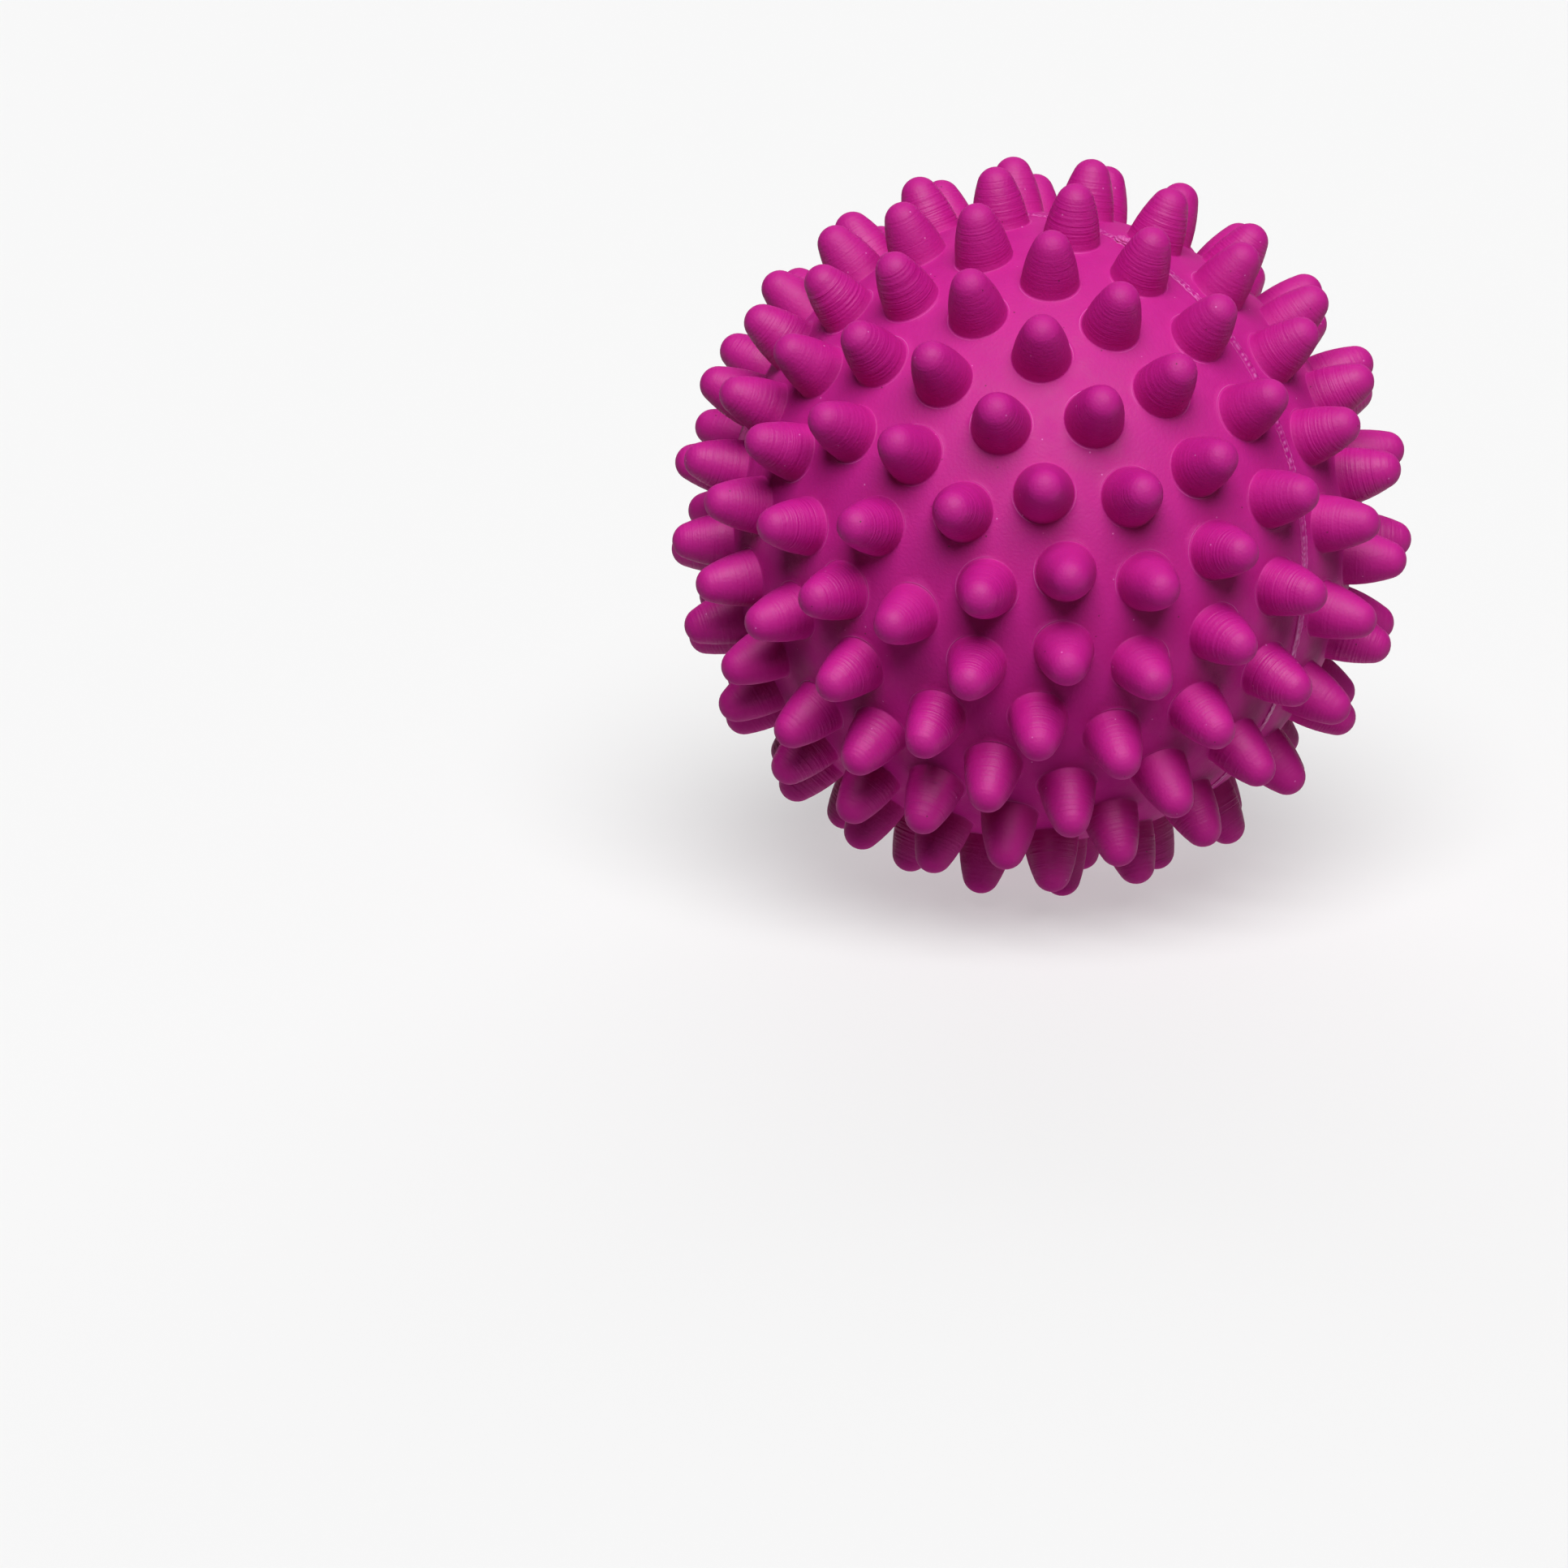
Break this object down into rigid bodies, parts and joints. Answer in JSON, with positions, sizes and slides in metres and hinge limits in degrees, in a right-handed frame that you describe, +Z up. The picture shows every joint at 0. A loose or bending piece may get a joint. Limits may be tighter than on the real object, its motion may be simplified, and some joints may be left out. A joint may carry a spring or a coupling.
{
  "type": "dryer ball",
  "caption": "Hollow spiked ball of soft plastic, made as half shells joined at a raised seam; tumbles with the laundry in a dryer to lift and part it.",
  "frame": {"origin": "centre of the ball, on the seam plane", "axes": "+Z is up as the ball is shown; the pole axis through the middle of both halves lies along Y with the front half at -Y; the seam lies in the XZ plane"},
  "size_m": [0.0694, 0.07, 0.0692],
  "materials": {
    "moulded_pvc": "satin moulded magenta PVC",
    "seam_pvc": "satin magenta PVC, slightly brighter along its edges"
  },
  "bodies": {
    "root": {"front_half_shell": "moulded_pvc", "rear_half_shell": "moulded_pvc", "seam_bead": "seam_pvc", "vent_plug": "seam_pvc"}
  },
  "joints": []
}
